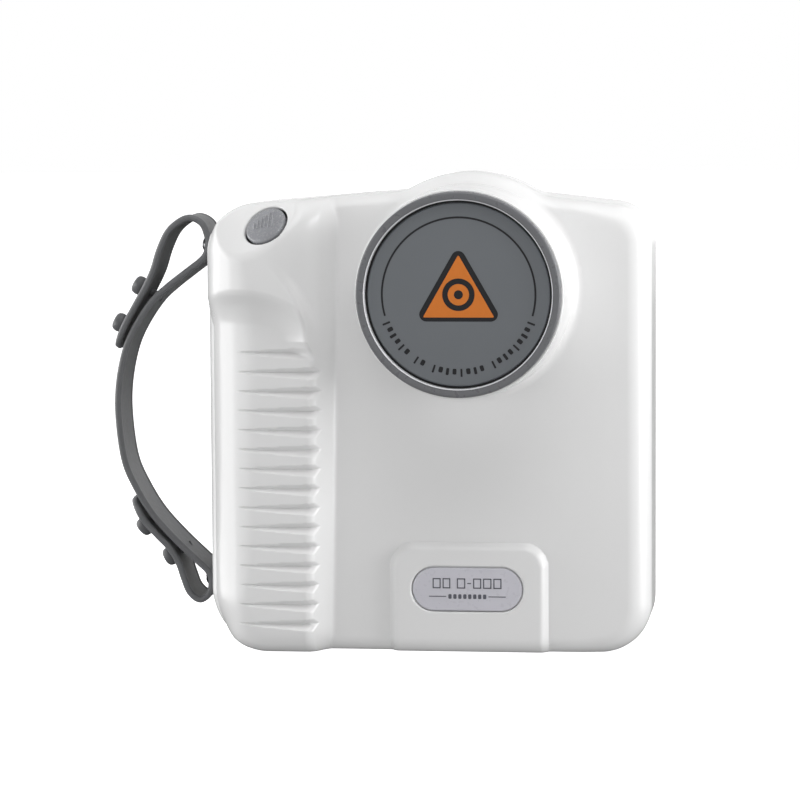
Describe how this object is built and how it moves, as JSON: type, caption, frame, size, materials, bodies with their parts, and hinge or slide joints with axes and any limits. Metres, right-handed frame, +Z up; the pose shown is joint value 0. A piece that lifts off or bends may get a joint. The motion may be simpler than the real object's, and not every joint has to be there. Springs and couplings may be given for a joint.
{
  "type": "intraoral xray unit",
  "caption": "Hand-held camera-shaped dental X-ray unit: white case with ribbed grip, sloped exposure button, round beam cone with grey ring, rear display and keypad, grey silicone hand strap.",
  "frame": {"origin": "middle of the flat base, in the plane of the case's left-right centre", "axes": "+Z up, the beam cone points to -Y, the hand strap is on the -X side"},
  "size_m": [0.1785, 0.09, 0.1547],
  "materials": {
    "shell_white": "glossy white moulded plastic",
    "ring_grey": "satin mid-grey plastic",
    "window_slate": "smooth slate-grey printed disc",
    "nameplate_lilac": "satin pale lilac-grey plate",
    "button_grey": "satin grey plastic with fine ribs",
    "strap_silicone": "matt grey silicone",
    "screw_chrome": "polished chrome",
    "screw_steel": "zinc-plated steel",
    "insert_brass": "plain brass",
    "filter_aluminium": "plain aluminium",
    "lead_grey": "dull lead sheet",
    "copper": "bare and enamelled copper",
    "tube_glass": "clear glass",
    "display_clear": "smoked clear display window",
    "board_green": "green circuit board",
    "dark_plastic": "dark grey plastic",
    "key_rubber": "soft grey silicone key",
    "cell_can": "blue sleeved battery can"
  },
  "bodies": {
    "root": {"front_shell": "shell_white", "rear_shell": "shell_white", "cone_tube": "shell_white", "cone_ring": "ring_grey", "window_disc": "window_slate", "nameplate": "nameplate_lilac", "strap": "strap_silicone", "strap_stud_1": "strap_silicone", "strap_stud_2": "strap_silicone", "strap_stud_3": "strap_silicone", "strap_stud_4": "strap_silicone", "strap_screw_top": "screw_chrome", "strap_screw_bottom": "screw_chrome", "case_screw_1": "screw_steel", "case_screw_2": "screw_steel", "case_screw_3": "screw_steel", "case_screw_4": "screw_steel", "bracket_screw_1": "screw_steel", "bracket_screw_2": "screw_steel", "tank_can": "screw_steel", "tank_lid": "screw_steel", "tank_bracket": "screw_steel", "cathode": "screw_steel", "trigger_spring": "screw_steel", "strap_insert_top": "insert_brass", "strap_insert_bottom": "insert_brass", "beam_filter": "filter_aluminium", "cone_liner": "lead_grey", "lead_diaphragm": "lead_grey", "lead_liner": "lead_grey", "anode": "copper", "hv_transformer": "copper", "inverter_coil": "copper", "tube_glass": "tube_glass", "display_lens": "display_clear", "main_board": "board_green", "keypad_board": "board_green", "trigger_switch": "board_green", "lcd_module": "dark_plastic", "charge_socket": "dark_plastic", "smoothing_capacitor_1": "dark_plastic", "smoothing_capacitor_2": "dark_plastic", "buzzer": "dark_plastic", "battery_tray": "dark_plastic", "tank_seal": "dark_plastic", "battery_cell_1": "cell_can", "battery_cell_2": "cell_can", "battery_cell_3": "cell_can", "battery_cell_4": "cell_can"},
    "trigger": {"trigger_button": "button_grey"},
    "flap": {"charge_flap": "key_rubber"},
    "confirm_key": {"key_confirm": "key_rubber"},
    "up_key": {"key_up": "key_rubber"},
    "down_key": {"key_down": "key_rubber"},
    "left_key": {"key_left": "key_rubber"},
    "right_key": {"key_right": "key_rubber"},
    "power_key": {"key_power": "key_rubber"}
  },
  "joints": [
    {"name": "trigger_press", "type": "slide", "parent": "root", "child": "trigger", "axis": [0.3309, 0.6919, -0.6417], "range_m": [0, 0.0012], "stiffness_N_per_m": 800, "springref_m": -0.001, "deforming": ["trigger_spring"]},
    {"name": "confirm_key_press", "type": "slide", "parent": "root", "child": "confirm_key", "axis": [0, -1, 0], "range_m": [0, 0.0008], "stiffness_N_per_m": 1200, "springref_m": -0.0005},
    {"name": "up_key_press", "type": "slide", "parent": "root", "child": "up_key", "axis": [0, -1, 0], "range_m": [0, 0.0008], "stiffness_N_per_m": 1200, "springref_m": -0.0005},
    {"name": "down_key_press", "type": "slide", "parent": "root", "child": "down_key", "axis": [0, -1, 0], "range_m": [0, 0.0008], "stiffness_N_per_m": 1200, "springref_m": -0.0005},
    {"name": "left_key_press", "type": "slide", "parent": "root", "child": "left_key", "axis": [0, -1, 0], "range_m": [0, 0.0008], "stiffness_N_per_m": 1200, "springref_m": -0.0005},
    {"name": "right_key_press", "type": "slide", "parent": "root", "child": "right_key", "axis": [0, -1, 0], "range_m": [0, 0.0008], "stiffness_N_per_m": 1200, "springref_m": -0.0005},
    {"name": "power_key_press", "type": "slide", "parent": "root", "child": "power_key", "axis": [0, -1, 0], "range_m": [0, 0.0008], "stiffness_N_per_m": 1200, "springref_m": -0.0005},
    {"name": "flap_hinge", "type": "hinge", "parent": "root", "child": "flap", "pos_m": [0.042, 0.0319, 0.0265], "axis": [1, 0, 0], "range_deg": [0, 120], "stiffness_Nm_per_rad": 0.0002, "springref_deg": -11.46}
  ]
}
